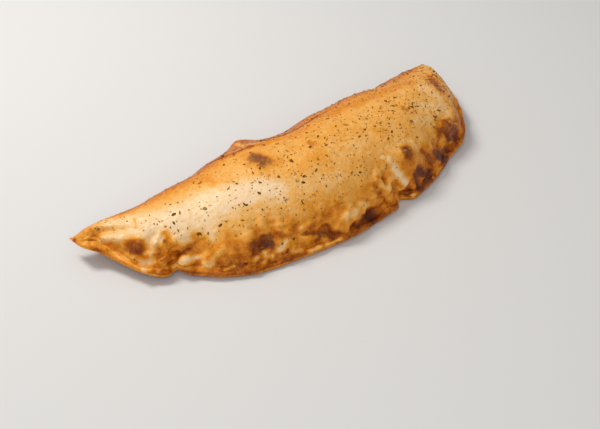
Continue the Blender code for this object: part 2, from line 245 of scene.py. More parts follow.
# blisters: centre, radius, height; below zero is a dimple
blisters = [
    ((-134.0, -44.0, 20.5), 6.5, 2.0),
    ((-120.0, -57.0, 17.0), 8.0, 1.6),
    ((-114.5, -67.0, 10.0), 6.0, 2.4),
    ((-99.5, -70.0, 17.5), 8.0, -1.4),
    ((-84.0, -82.0, 11.5), 9.0, 1.8),
    ((-69.0, -87.5, 11.5), 7.5, -2.2),
    ((-55.0, -93.0, 9.5), 6.0, 2.0),
    ((-42.0, -48.5, 46.0), 10.0, 1.0),
    ((-26.0, -101.5, 8.5), 7.5, -1.8),
    ((-12.0, -102.5, 10.5), 9.0, 2.2),
    ((10.5, -103.5, 7.5), 9.0, -1.8),
    ((28.0, -101.0, 13.0), 6.5, 1.6),
    ((55.5, -93.0, 25.5), 10.0, 2.2),
    ((64.5, -99.5, 8.0), 8.0, 1.0),
    ((90.5, -91.5, 8.0), 9.0, 1.8),
    ((114.0, -81.0, 14.5), 9.0, -1.6),
    ((133.0, -42.0, 31.5), 10.0, -2.0),
    # smaller ones that only show close up
    ((-68.5, -89.0, 7.0), 3.0, 1.3),
    ((-75.0, -90.5, 6.5), 2.5, 1.2),
    ((-62.0, -91.0, 8.5), 3.0, 0.9),
    ((-101.0, -75.0, 10.0), 3.0, 0.8),
    ((-93.0, -80.0, 9.0), 3.5, 0.8),
    ((-38.0, -98.0, 8.5), 4.0, 1.0),
    ((0.5, -103.0, 12.0), 4.0, 0.9),
    ((20.0, -103.5, 11.0), 3.5, 0.8),
    ((47.0, -88.0, 29.0), 5.0, 0.8),
    ((76.0, -88.0, 27.0), 6.0, 1.0),
    ((104.0, -86.0, 15.0), 4.5, 1.0),
    ((122.0, -74.0, 16.0), 4.0, 0.9),
    ((81.0, -60.5, 40.0), 5.0, 0.4),
    ((-1.5, -54.0, 44.0), 5.0, 0.4),
]

# pleats and valleys, each along a line: start, end, half width, height
pleats = [
    ((-145.5, -19.5, 21.5), (-134.5, -30.5, 26.5), 3.0, -1.7),
    ((-148.0, -21.0, 18.5), (-139.5, -34.5, 22.0), 2.4, 1.6),
    ((-118.0, -50.0, 27.0), (-125.5, -52.0, 22.5), 1.3, 0.7),
    ((-125.5, -52.0, 22.5), (-132.0, -53.5, 16.5), 1.4, 1.1),
    ((-132.0, -53.5, 16.5), (-137.0, -56.0, 9.5), 1.5, 1.1),
    ((-123.0, -48.5, 26.0), (-130.5, -50.0, 21.0), 2.8, -1.8),
    ((-128.5, -51.0, 21.0), (-134.5, -52.5, 13.5), 2.6, -1.8),
    ((-103.5, -64.0, 19.0), (-115.5, -60.5, 12.5), 3.0, -2.4),
    ((-115.5, -60.5, 12.5), (-124.0, -63.5, 10.0), 2.4, -2.2),
    ((-100.0, -75.0, 8.5), (-91.0, -77.0, 16.5), 3.0, 1.5),
    ((31.0, -96.0, 22.0), (38.0, -103.5, 7.0), 3.5, -2.4),
    ((37.5, -91.5, 28.5), (45.5, -100.0, 12.5), 3.5, 1.7),
    ((70.0, -92.0, 24.0), (78.0, -96.5, 8.0), 4.5, -2.0),
    ((103.0, -79.5, 22.5), (119.0, -71.0, 20.5), 4.0, 1.4),
    # finer ones
    ((-126.5, -30.0, 28.0), (-129.5, -37.0, 27.0), 1.0, -0.9),
    ((-116.5, -55.0, 23.5), (-128.0, -58.0, 10.5), 1.2, -1.4),
    ((-113.0, -58.0, 23.5), (-124.5, -61.5, 13.5), 1.7, 1.1),
    ((-58.0, -15.5, 31.5), (-44.0, -28.0, 40.0), 1.5, -1.3),
    ((-44.0, -28.0, 40.0), (-29.0, -30.5, 41.5), 1.5, -1.5),
    ((-29.0, -30.5, 41.5), (-12.0, -37.5, 42.5), 1.4, -1.0),
    ((30.2, -101.7, 15.0), (20.4, -103.6, 8.0), 1.2, -1.5),
    ((-98.0, -77.0, 9.0), (-89.0, -79.5, 15.0), 2.0, -1.0),
    ((-127.0, -53.0, 11.0), (-118.0, -57.5, 6.5), 1.8, -1.2),
    ((-110.0, -56.0, 17.0), (-104.0, -62.0, 18.0), 2.0, 0.8),
    ((96.0, -90.0, 18.0), (101.0, -89.0, 8.0), 2.2, -1.2),
    ((-47.0, -95.0, 13.0), (-36.0, -98.5, 12.0), 2.0, -0.9),
    ((4.0, -100.0, 20.0), (14.0, -102.0, 14.0), 2.5, -0.8),
]


def lineDistance(points, start, end):
    start = np.array(start)
    run = np.array(end) - start
    share = np.clip((points - start) @ run / max(run @ run, 1e-9), 0, 1)
    return np.linalg.norm(points - start - share[:, None] * run, axis=1)


def onSkin(points, place):  # the nearest point of the skin
    return points[np.argmin(np.linalg.norm(points - np.array(place), axis=1))]


def bakedRelief(points):  # how far the skin stands out of the plain rolled shape
    height = dough["swell"] * lumps(points, dough["swellSize"])
    for centre, radius, rise in blisters:
        height = height + rise * bell(np.linalg.norm(points - onSkin(points, centre), axis=1), 0, radius)
    for start, end, spread, rise in pleats:
        distance = lineDistance(points, onSkin(points, start), onSkin(points, end))
        height = height + rise * bell(distance, 0, spread)
    return height


photo = {
    "width": 600, "height": 429,
    "pixel": 0.69,  # millimetres to a pixel on the crust
    "near": 1.2, "slack": 0.01,  # pixels within which a point of the skin counts as lying at a pixel
    "hidden": 50,  # pixels that a point facing away counts as further off
}

# marks of the oven, painted highlights and painted shade over the even bake, placed on the photograph: the
# pixels that each runs between, its radius in pixels, how dark it is (0 is pale dough, 1 is dark brown) and
# how charred
browningAndPaintedLight = {
    "flouryGround": {
        # pale dough, painted paler still as a sheen where the top faces the light, most in the middle
        "paleDoughAndSheen": [
            ((112, 222), (128, 222), 9, 0.12, 0), ((135, 226), (150, 222), 12, 0.13, 0),
            ((150, 232), (175, 218), 13, 0.08, 0), ((180, 218), (213, 203), 15, 0.05, 0),
            ((213, 205), (243, 195), 12, 0.01, 0), ((240, 194), (264, 189), 10, -0.02, 0),
            ((264, 189), (280, 188), 7, 0.04, 0), ((280, 192), (284, 197), 4, 0.12, 0),
            ((188, 230), (208, 221), 9, 0.06, 0), ((182, 238), (192, 230), 5, 0.12, 0)],
        # paler still: pale dough with a painted sheen
        "paleMidAndSheen": [((222, 217), (236, 213), 6, 0.16, 0)],
        "goldMid": [
            ((245, 212), (262, 208), 6, 0.28, 0), ((226, 228), (250, 222), 6, 0.34, 0)],
        "lightGold": [
            ((340, 152), (362, 144), 10, 0.28, 0), ((298, 184), (340, 176), 9, 0.26, 0),
            ((418, 122), (430, 118), 6, 0.24, 0)],
        "orangeBlotch": [
            ((200, 176), (211, 181), 5, 0.50, 0), ((311, 158), (322, 154), 5, 0.44, 0),
            ((374, 128), (384, 131), 4.5, 0.42, 0), ((275, 138), (300, 136), 3, 0.44, 0)],
    },
    "pointedEnd": {
        "tip": [
            ((73, 239), (86, 234), 4, 0.46, 0), ((90, 233), (98, 236), 4, 0.55, 0)],
        "tipGold": [((84, 242), (98, 244), 3.5, 0.44, 0)],
        # painted shade under the lifted tip
        "tipUnderShade": [((72, 241), (100, 252), 2.0, 0.80, 0)],
        # painted shade in the dent behind the tip
        "valleyShade": [
            ((103, 231), (112, 228), 2.5, 0.32, 0), ((112, 228), (124, 229), 2.5, 0.26, 0)],
        # painted highlights on the ridge below the dent
        "ridgeHighlight": [((104, 237), (120, 236), 2.6, 0.04, 0)],
        "pinkHighlight": [((102, 241), (114, 240), 2.6, 0.20, 0)],
        "brownFleck": [((109, 246), (109, 245), 2.4, 0.60, 0)],
        "fleck": [((106, 250), (107, 250), 1.0, 0.76, 0)],
        "crease": [((133, 219), (135, 228), 1.2, 0.40, 0)],
        "ring": [
            ((127, 243), (126, 251), 3.2, 0.64, 0), ((130, 240), (139, 241), 2.6, 0.62, 0),
            ((131, 250), (142, 250), 5.0, 0.88, 0.14), ((143, 243), (146, 246), 2.4, 0.66, 0),
            ((144, 256), (150, 256), 4.0, 0.72, 0)],
        "heart": [((130, 243), (139, 248), 3.4, 0.78, 0.06)],
        "goldLower": [
            ((118, 254), (132, 260), 3.2, 0.36, 0), ((132, 262), (140, 264), 3.0, 0.42, 0)],
        "flourLow": [
            ((143, 264), (152, 262), 2.8, 0.12, 0), ((144, 270), (151, 269), 2.2, 0.20, 0)],
        # painted highlight beside the pleat, painted shade in its valley and painted highlight along its
        # crest
        "highlightByPleat": [((150, 243), (157, 238), 3.2, 0.08, 0)],
        "greyShade": [((152, 243), (145, 256), 2.0, 0.26, 0)],
        "pleatHighlight": [
            ((161, 229), (156, 243), 1.3, 0.10, 0), ((156, 243), (150, 257), 1.5, 0.14, 0),
            ((150, 257), (145, 267), 1.7, 0.14, 0)],
        "brownSkin": [
            ((164, 232), (167, 241), 3.0, 0.56, 0), ((168, 243), (174, 247), 4.4, 0.62, 0),
            ((159, 249), (157, 258), 3.0, 0.68, 0), ((167, 252), (164, 258), 3.6, 0.68, 0),
            ((160, 264), (156, 268), 2.6, 0.60, 0)],
        # painted shade in the brown valley beyond the pleat
        "darkValleyShade": [
            ((196, 243), (184, 249), 3.6, 0.66, 0), ((188, 250), (178, 254), 3.2, 0.80, 0.08),
            ((178, 254), (170, 264), 2.4, 0.78, 0)],
        "thinLight": [((178, 248), (166, 265), 0.9, 0.42, 0)],
        "oliveLow": [((152, 272), (165, 272), 2.6, 0.70, 0)],
        # painted highlight on the lobe above the rim
        "lobeHighlight": [
            ((174, 265), (184, 260), 2.8, 0.20, 0), ((184, 260), (196, 257), 2.8, 0.12, 0)],
        "lobeLow": [((178, 267), (205, 268), 2.0, 0.44, 0)],
        "olive": [((192, 253), (200, 252), 2.4, 0.62, 0)],
        "orange": [((196, 236), (206, 246), 4.5, 0.54, 0)],
        "pinkPale": [((178, 238), (184, 234), 2.8, 0.14, 0)],
    },
    "frontPointedHalf": {
        # painted glint
        "pale": [((212, 238), (213, 232), 3.0, 0.14, 0)],
        "ground": [((207, 254), (205, 262), 3.5, 0.34, 0)],
        # painted highlight on the lobe
        "lightLobe": [((206, 266), (213, 264), 2.2, 0.16, 0)],
        "spot": [((228, 232), (228, 234), 2.6, 0.62, 0)],
        "dark": [
            ((208, 257), (214, 254), 2.6, 0.70, 0), ((276, 232), (283, 235), 2.8, 0.74, 0.10),
            ((283, 236), (292, 238), 2.6, 0.70, 0)],
        # painted highlights along the small ridge
        "ridgeHighlight": [
            ((226, 249), (218, 255), 2.2, 0.19, 0), ((218, 255), (212, 261), 2.2, 0.21, 0)],
        "band": [
            ((230, 243), (246, 249), 5.0, 0.62, 0), ((224, 256), (248, 258), 4.2, 0.66, 0),
            ((218, 263), (242, 264), 2.8, 0.74, 0)],
        "point": [((245, 265), (246, 264), 1.1, 0.95, 0.5)],
        # painted highlight along the edge
        "thinLight": [((224, 269), (234, 267), 1.0, 0.34, 0)],
        "purple": [
            ((254, 248), (257, 257), 4.6, 0.78, 0.15), ((257, 244), (263, 251), 3.8, 0.84, 0.30),
            ((264, 241), (271, 246), 4.2, 0.86, 0.50)],
        "purpleLight": [((264, 238), (270, 239), 3.2, 0.70, 0.50)],
        # painted highlights on small bumps, which also stand out in the relief
        "bump": [
            ((265, 253), (266, 255), 2.2, 0.18, 0), ((256, 260), (259, 258), 1.6, 0.24, 0),
            ((263, 261), (270, 257), 1.6, 0.38, 0), ((273, 257), (273, 258), 1.2, 0.14, 0),
            ((280, 249), (287, 242), 3.2, 0.06, 0)],
        "purpleFleck": [((281, 227), (284, 227), 2.0, 0.48, 0.30)],
        "glint": [((301, 229), (302, 228), 1.5, 0.08, 0)],
        # painted highlight
        "pinkHighlight": [((293, 250), (300, 250), 1.9, 0.22, 0)],
        "gold": [((292, 243), (312, 242), 4.0, 0.52, 0)],
    },
    "frontMiddle": {
        "darkStroke": [((306, 234), (318, 233), 2.2, 0.80, 0.06)],
        "purpleLight": [((321, 236), (325, 233), 3.4, 0.66, 0.60)],
        "purple": [
            ((328, 226), (330, 232), 2.8, 0.78, 0.35), ((332, 234), (338, 233), 3.0, 0.84, 0.20)],
        # painted highlights on a bump and a ridge
        "pinkHighlight": [((311, 252), (320, 248), 2.0, 0.26, 0)],
        "lineHighlight": [((328, 245), (340, 240), 1.4, 0.26, 0)],
        "orange": [
            ((334, 222), (347, 224), 4.5, 0.54, 0), ((344, 221), (350, 223), 3.0, 0.46, 0),
            ((393, 190), (396, 199), 3.2, 0.58, 0)],
        "lightLump": [
            ((348, 216), (356, 213), 3.6, 0.20, 0), ((362, 204), (368, 206), 3.0, 0.24, 0)],
        "blackBrown": [
            ((364, 219), (373, 213), 4.4, 0.86, 0.30), ((371, 219), (372, 221), 3.0, 0.96, 0.30)],
        "redBrown": [((358, 225), (363, 222), 3.0, 0.82, 0.15)],
        "brown": [((376, 210), (382, 207), 2.4, 0.66, 0.05)],
        "goldByNotch": [((384, 206), (396, 198), 3.4, 0.42, 0)],
        # painted shade in the crease
        "crease": [
            ((381, 193), (385, 199), 0.8, 0.84, 0), ((385, 199), (388, 206), 0.8, 0.84, 0)],
        "palePink": [((382, 186), (391, 189), 2.6, 0.24, 0)],
    },
    "notch": {
        "paleFold": [((398, 188), (403, 197), 1.3, 0.12, 0)],
        "facet": [((402, 192), (406, 196), 2.2, 0.72, 0.30)],
        "lightBead": [((412, 195), (414, 194), 1.5, 0.14, 0)],
        # painted highlight along a smooth pleat
        "streakHighlight": [
            ((390, 160), (395, 167), 2.8, 0.10, 0), ((395, 169), (400, 175), 3.8, 0.00, 0),
            ((401, 177), (405, 183), 4.6, -0.04, 0)],
        "orange": [((396, 181), (402, 186), 2.2, 0.58, 0)],
        # painted highlight on a small bump
        "beadHighlight": [((384, 157), (383, 156), 1.4, 0.12, 0)],
    },
    "theBack": {
        "brownedBack": [((326, 114), (352, 104), 7, 0.55, 0), ((352, 104), (408, 81), 7, 0.52, 0)],
        "earLight": [((237, 143), (243, 145), 2.0, 0.34, 0)],
        "earBrown": [((224, 152), (233, 146), 2.0, 0.60, 0)],
        "earGold": [((247, 144), (256, 142), 2.2, 0.46, 0)],
        # painted shade in the crease between the shoulder and the lip behind it
        "foldLine": [
            ((208, 163), (220, 158), 1.0, 0.78, 0), ((220, 158), (235, 153), 1.0, 0.80, 0),
            ((235, 153), (247, 147.5), 1.0, 0.84, 0), ((247, 147.5), (255, 144.5), 0.9, 0.84, 0),
            ((255, 144.5), (266, 143), 0.9, 0.70, 0), ((266, 143), (280, 138.5), 0.9, 0.64, 0),
            ((280, 138.5), (300, 134), 0.9, 0.58, 0)],
        # painted shade along the back edge, under the lip
        "backEdgeShade": [
            ((253, 141.5), (266, 139.5), 1.0, 0.92, 0), ((266, 139.5), (284, 134), 1.0, 0.90, 0),
            ((284, 134), (300, 126), 1.1, 0.88, 0), ((300, 126), (318, 115), 1.1, 0.86, 0),
            ((318, 115), (330, 108.5), 1.0, 0.74, 0)],
    },
    "bluntHalf": {
        # painted highlight round the blister
        "blisterRimHighlight": [
            ((398, 149), (402, 142), 2.2, 0.26, 0), ((402, 142), (411, 141), 2.0, 0.24, 0),
            ((411, 141), (417, 147), 1.8, 0.26, 0)],
        "blister": [((408, 149), (409, 157), 5.6, 0.84, 0.12)],
        "blisterLow": [((405, 163), (414, 164), 3.2, 0.60, 0.05)],
        "brown": [
            ((422, 151), (427, 157), 3.0, 0.72, 0.08), ((427, 157), (432, 163), 3.4, 0.78, 0.15),
            ((448, 146), (456, 150), 3.0, 0.66, 0)],
        "purple": [
            ((419, 171), (428, 178), 4.8, 0.88, 0.55), ((416, 177), (419, 187), 3.6, 0.84, 0.60)],
        "purplePink": [((424, 181), (429, 180), 2.6, 0.70, 0.60)],
        "thinLight": [((422, 160), (434, 178), 0.9, 0.40, 0)],
        "gold": [
            ((436, 172), (441, 168), 2.2, 0.46, 0), ((462, 128), (461, 142), 2.2, 0.50, 0)],
        "black": [((440, 155), (447, 160), 5.0, 0.98, 0.85)],
        "blackHalo": [((434, 153), (448, 150), 3.0, 0.80, 0.20)],
        "redBrown": [
            ((445, 121), (457, 124), 3.8, 0.78, 0.01), ((441, 131), (457, 132), 4.8, 0.84, 0.02),
            ((449, 138), (458, 138), 3.2, 0.88, 0.06)],
        # painted highlight on the fold
        "foldHighlight": [((449, 122), (458, 125), 0.8, 0.34, 0)],
        "cornerBrown": [
            ((432, 79), (440, 88), 6.4, 0.78, 0), ((428, 74), (434, 78), 3.4, 0.62, 0)],
        "cornerEdge": [((441, 84), (446, 89), 1.8, 0.58, 0)],
        # paler dough at the right end, made paler still as painted light on that lit end
        "paleRightAndPaintedLight": [
            ((426, 88), (440, 98), 6, 0.20, 0), ((420, 105), (445, 108), 6, 0.20, 0),
            ((440, 114), (452, 116), 3.5, 0.26, 0)],
    },
    "top": {
        "purpleTop": [
            ((254, 156), (262, 160), 6.4, 0.70, 0.72), ((262, 163), (269, 161), 4.8, 0.60, 0.50)],
        "topHalo": [
            ((244, 155), (252, 162), 5, 0.46, 0.06), ((268, 165), (280, 160), 4, 0.44, 0.08)],
        "spot": [
            ((310, 142), (312, 144), 3.2, 0.58, 0.16), ((404, 107), (405, 108), 3.0, 0.54, 0.30)],
        "fleck": [((344, 124), (346, 124), 1.8, 0.56, 0.20)],
    },
}

skin = {
    "swell": 1.4, "swellSize": 13, "evenSwell": 0.45,  # broad unevenness on top of the solid's own
    "crumple": 3.6, "crumpleSize": 8.0, "crumpleStretch": 0.5,  # short pleats, in from the sealed edge
    "knob": 1.9, "knobSize": 3.6,
    "grain": 0.27, "grainSize": 1.9,
    "seamPlaces": 801, "frontDepth": 75, "sheetRise": 0.35,  # the flat sheet that the pleats are laid out on
    # the crumpled band low on the front: where it starts, how it ends, how patchy it is
    "bandStart": (0.50, 0.86), "bandWander": 0.20, "bandWanderSize": 22,
    "pointedBandEnd": (0.02, 0.10), "bluntBandEnd": (0, 0.06), "bandOnEdge": 0.35,
    "patchMiddle": 0.80, "patch": 0.7, "patchSize": 30, "patchLimits": (0.35, 1.5),
    "extraPatch": 0.35, "extraPlace": 0.36, "extraSpread": 0.14,
    # the groove between the two sheets of the sealed edge
    "groove": 0.8, "groovePlace": 0.38, "grooveWander": 0.10, "grooveWanderSize": 14,
    "grooveSpread": 0.09, "grooveStart": (0.12, 0.20),
    # how far small light and dark marks stand out, by their radius, and which of them do
    "lightRise": 0.34, "lightLevels": (0.34, 0.16), "darkDip": -0.26, "darkLevels": (0.56, 0.76),
    "smallMark": 3.4, "thinMark": 1.6,
    "breaksMiddle": 0.75, "breaks": 0.9, "breaksSize": 4.2, "breaksMost": 1.5,
    # the limits of a normal's Z between which the relief comes in
    "facing": (-0.5, 0.1), "fineFacing": (-0.45, 0.05),
}


def fineRelief(points, along, turn):  # what the solid leaves out: the height, and the crumpled part of it
    s = skin
    places = np.linspace(0, 1, s["seamPlaces"])
    steps = np.linalg.norm(np.diff(seamLine(places), axis=0), axis=1)
    seamRun = np.interp(along, places, np.append(0, np.cumsum(steps)))
    frontShare = stretch(turn, "shoulder", "front")
    drop = frontShare * s["frontDepth"] * s["crumpleStretch"]
    sheet = np.stack([seamRun, drop, s["sheetRise"] * points[:, 2]], 1)

    patchy = s["patchMiddle"] + s["patch"] * lumps(points, s["patchSize"], (13, 0, 2))
    patchy += s["extraPatch"] * bell(along, s["extraPlace"], s["extraSpread"])
    start = frontShare + s["bandWander"] * lumps(points, s["bandWanderSize"], (0, 3, 3))
    band = smooth(*s["bandStart"], start) * np.clip(patchy, *s["patchLimits"])
    band *= smooth(*s["pointedBandEnd"], along) * smooth(*s["bluntBandEnd"], 1 - along)
    band *= mix(1, s["bandOnEdge"], smooth(dough["front"], dough["rim"], turn))  # the edge itself stays even
    crumpled = s["crumple"] * lumps(sheet, s["crumpleSize"], (0, 7.7, 0))
    crumpled += s["knob"] * lumps(points, s["knobSize"], (0, 0, 5.2))
    crumpled *= band

    height = crumpled + s["grain"] * lumps(points, s["grainSize"], (3.1, 0, 0))
    height += s["swell"] * lumps(points, s["swellSize"], (9, 2, 0)) * mix(s["evenSwell"], 1, band)
    edge = stretch(turn, "rim", "lipEnd")
    seamPoints = np.stack([seamRun, 0 * seamRun, 0 * seamRun], 1)
    wander = s["groovePlace"] + s["grooveWander"] * lumps(seamPoints, s["grooveWanderSize"])
    height -= s["groove"] * bell(edge, wander, s["grooveSpread"]) * smooth(*s["grooveStart"], along)
    return height, crumpled, band


def makeCrust():
    clearSelection()
    bpy.ops.mesh.primitive_uv_sphere_add(segments=dough["segments"], ring_count=dough["rings"], radius=1)
    crust = bpy.context.active_object
    crust.name = "bakedCrust"
    mesh = crust.data
    ball = readVectors(mesh, "co")
    ring = np.round(np.arccos(np.clip(-ball[:, 2], -1, 1)) / np.pi * dough["rings"])
    step = np.round(np.arctan2(ball[:, 1], ball[:, 0]) / (2 * np.pi) * dough["segments"]) % dough["segments"]
    along = ring / dough["rings"]
    stops = (0, dough["underside"], dough["belly"], dough["shoulder"], dough["front"], dough["rim"], 1)
    turn = np.interp(step / dough["segments"], dough["meshStops"], stops)
    turn = np.minimum(turn, 1 - 1e-6)
    points = rollDough(along, turn)
    for end, lift in ((0, dough["pointLift"] - dough["pointDroop"]), (1, dough["cornerLift"])):
        tip = along == end
        points[tip] = np.append(seamLine(along[tip])[0], lift - dough["endDroop"])
    writePoints(mesh, points)

    clearSelection()
    crust.select_set(True)
    bpy.context.view_layer.objects.active = crust
    bpy.ops.object.mode_set(mode="EDIT")
    bpy.ops.mesh.select_all(action="SELECT")
    bpy.ops.mesh.normals_make_consistent(inside=False)
    bpy.ops.object.mode_set(mode="OBJECT")

    normals = readVectors(mesh, "normal")
    exposed = smooth(*skin["facing"], normals[:, 2])
    points = points + normals * (bakedRelief(points) * exposed)[:, None]
    writePoints(mesh, points)
    say("crust rolled and blistered")
    return crust, along, turn, points


def partPlace(points):  # from the dough's own millimetres to the part's place
    lowest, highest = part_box("calzone")
    middle = (points.min(0) + points.max(0)) / 2
    return np.array([(lowest.x + highest.x) / 2, (lowest.y + highest.y) / 2, lowest.z]) - np.array(
        [middle[0], middle[1], points[:, 2].min()]) * mm


def photoView(points, normals):  # each skin point's place in the photograph, how far off it is, if it shows
    bpy.context.view_layer.update()
    camera = bpy.context.scene.camera
    turned = np.array(camera.matrix_world.inverted())
    placed = points * mm + partPlace(points)
    seen = placed @ turned[:3, :3].T + turned[:3, 3]
    scale = photo["width"] * shot["lens"] / shot["sensor"]
    across = photo["width"] / 2 - scale * seen[:, 0] / seen[:, 2]
    down = photo["height"] / 2 + scale * seen[:, 1] / seen[:, 2]
    shows = ((np.array(camera.location) - placed) * normals).sum(1) > 0
    return np.stack([across, down], 1), -seen[:, 2], shows


def skinAt(points, view, pixel):  # the point of the skin that shows at a pixel
    pixels, depth, shows = view
    miss = np.linalg.norm(pixels - np.array(pixel), axis=1) + np.where(shows, 0, photo["hidden"])
    near = np.flatnonzero(miss < max(photo["near"], miss.min() + photo["slack"]))
    return points[near[np.argmin(depth[near])]]


def placeMarks(points, view):
    marks = []
    for area in browningAndPaintedLight.values():
        for start, end, radius, level, darker in itertools.chain(*area.values()):
            ends = skinAt(points, view, start), skinAt(points, view, end)
            marks.append((*ends, radius * photo["pixel"], level, darker))
    return marks


def markRelief(points, marks):  # small pale marks stand out of the skin, and small dark ones lie in it
    s = skin
    height = np.zeros(len(points))
    broken = s["breaksMiddle"] + s["breaks"] * lumps(points, s["breaksSize"], (19, 0, 7))
    broken = np.clip(broken, 0, s["breaksMost"])
    for start, end, radius, level, darker in marks:
        rise = s["lightRise"] * smooth(*s["lightLevels"], level)
        rise += s["darkDip"] * smooth(*s["darkLevels"], level)
        if radius < s["smallMark"] and rise and not darker:
            spot = bell(lineDistance(points, start, end), 0, radius)
            height += rise * min(radius, s["thinMark"]) * broken * spot
    return height


bakingAndPaintedLight = {
    "plain": 0.345,  # how baked the crust is before anything is added
    "broad": 0.05, "broadSize": 28, "patch": 0.07, "patchSize": 9, "speck": 0.06,
    "back": 0.36, "backReach": (0.42, 0.90), "backFray": 0.10,
    "front": 0.22, "frontReach": (0.55, 0.90), "frontFray": 0.12,
    "hollow": 0.22, "hollowPlace": 0.006, "hollowSpread": 0.014, "hollowFray": 0.8,
    "edge": 0.20, "edgeStart": (0.15, 0.24), "edgeEnd": (0.78, 0.88),
    # bump and mostBump: painted highlight on the bumps of the crumpled band and painted shade in its pockets
    "bandFray": 0.12, "bump": 0.13, "mostBump": 1.5,
    "underside": 0.78, "undersideEnd": (0.8, 1),
    # how the marks are frayed, by coarse and by ragged lumps, and how they cover what is under them
    "coarseSize": 6.5, "coarseWarp": 0.45, "mostCoarseWarp": 2.4, "coarseSpot": 0.35,
    "raggedSize": 2.0, "raggedWarp": 0.40, "mostRaggedWarp": 1.1, "raggedSpot": 0.40,
    "spotSpread": 1.15, "spotGain": 1.2, "through": 0.10, "throughMiddle": 0.45,
    "charReach": (0.30, 0.85), "charFray": 0.35,
    # the pale line between the two sheets of the sealed edge
    "seam": 0.18, "seamPlace": 0.52, "seamSpread": 0.10, "seamBreaks": (-0.5, 0.3), "seamBreaksSize": 16,
    "most": 1.1,
}


# the bake of the crust, with the painted highlights, sheen and shade of the marks, bumps and sealed edge in
# the same field
def bakeAndPaintedLightFields(points, along, turn, crumpled, band, marks):
    b = bakingAndPaintedLight
    coarse = threeLumps(points, b["coarseSize"], (11, 17, 23))
    ragged = threeLumps(points, b["raggedSize"], (31, 37, 43))
    patchy = lumps(points, b["patchSize"], (2, 9, 4))
    broad = lumps(points, b["broadSize"], (5, 5, 5))
    bakeAndPaintedLight = b["plain"] + b["broad"] * broad + b["patch"] * patchy + b["speck"] * ragged[:, 0]

    # more on the back, low on the front, in the hollow there and on the sealed edge, which also takes
    # painted shade
    backShare = stretch(turn, "belly", "shoulder") + b["backFray"] * patchy
    bakeAndPaintedLight += b["back"] * (1 - smooth(*b["backReach"], backShare)) * (turn < dough["shoulder"])
    frontShare = stretch(turn, "shoulder", "front") + b["frontFray"] * patchy
    bakeAndPaintedLight += b["front"] * smooth(*b["frontReach"], frontShare)
    sealed = smooth(*b["edgeStart"], along) * (1 - smooth(*b["edgeEnd"], along))
    hollow = bell(turn, dough["front"] + b["hollowPlace"], b["hollowSpread"])
    bakeAndPaintedLight += b["hollow"] * sealed * hollow * (1 + b["hollowFray"] * patchy)
    # the sealed edge: browner, and darker still as painted shade on its low face
    bakeAndPaintedLight += b["edge"] * sealed * smooth(dough["front"], dough["rim"], turn)

    bumpLightAndPocketShade = np.clip(crumpled, -b["mostBump"], b["mostBump"])
    bakeAndPaintedLight += band * (b["bandFray"] * coarse[:, 1] - b["bump"] * bumpLightAndPocketShade)  # painted light and shade: bumps painted paler than the pockets
    nearBelly = smooth(*b["undersideEnd"], stretch(turn, "underside", "belly"))
    bakeAndPaintedLight = np.where(turn < dough["belly"], mix(b["underside"], bakeAndPaintedLight, nearBelly), bakeAndPaintedLight)

    char = np.zeros(len(points))
    for start, end, radius, level, darker in marks:
        coarseWarp = min(b["coarseWarp"] * radius, b["mostCoarseWarp"])
        raggedWarp = min(b["raggedWarp"] * radius, b["mostRaggedWarp"])
        warped = points + coarseWarp * coarse + raggedWarp * ragged
        spot = bell(lineDistance(warped, start, end), 0, b["spotSpread"] * radius)
        uneven = 1 + b["raggedSpot"] * ragged[:, 1] + b["coarseSpot"] * coarse[:, 0]
        spot = np.clip(b["spotGain"] * spot * uneven, 0, 1)
        bakeAndPaintedLight = mix(bakeAndPaintedLight, level + b["through"] * (bakeAndPaintedLight - b["throughMiddle"]), spot)
        char = np.maximum(char * (1 - spot * (darker == 0)), darker * smooth(*b["charReach"], spot))

    seam = bell(stretch(turn, "rim", "lipEnd"), b["seamPlace"], b["seamSpread"]) * (turn > dough["rim"])
    bakeAndPaintedLight -= b["seam"] * seam * smooth(*b["seamBreaks"], lumps(points, b["seamBreaksSize"], (8, 1, 1)))
    char = char * (1 + b["charFray"] * ragged[:, 2])
    return np.clip(bakeAndPaintedLight, 0, b["most"]), np.clip(char, 0, 1)


def keepField(mesh, name, values):
    field = mesh.attributes.new(name, "FLOAT", "POINT")
    field.data.foreach_set("value", values.astype(np.float32))


crustColours = {  # sRGB, from pale dough to dark brown
    0.00: (250, 216, 172), 0.15: (243, 196, 134), 0.30: (240, 176, 88), 0.42: (234, 157, 54),
    0.54: (221, 136, 28), 0.66: (196, 109, 8), 0.78: (156, 76, 5), 0.90: (116, 48, 7), 1.00: (82, 30, 8),
}
charColour = (92, 46, 34)


def fromScreen(colour):  # a screen colour, 0 to 255, as the light it stands for
    part = [channel / 255 for channel in colour]
    return [c / 12.92 if c <= 0.04045 else ((c + 0.055) / 1.055) ** 2.4 for c in part] + [1.0]


def newMaterial(name):
    material = bpy.data.materials.new(name)
    material.use_nodes = True
    nodes = material.node_tree.nodes
    return material, nodes, material.node_tree.links, nodes["Principled BSDF"]


def noiseNode(nodes, links, place, size, detail=3.0):  # lumps of about `size` millimetres
    node = nodes.new("ShaderNodeTexNoise")
    node.inputs["Scale"].default_value = 1 / (size * mm)
    node.inputs["Detail"].default_value = detail
    node.inputs["Roughness"].default_value = 0.55
    links.new(place.outputs["Object"], node.inputs["Vector"])
    return node.outputs["Fac"]


def mathNode(nodes, links, operation, first, second):
    node = nodes.new("ShaderNodeMath")
    node.operation = operation
    for socket, value in zip(node.inputs, (first, second)):
        if isinstance(value, (int, float)):
            socket.default_value = value
        else:
            links.new(value, socket)
    return node.outputs[0]


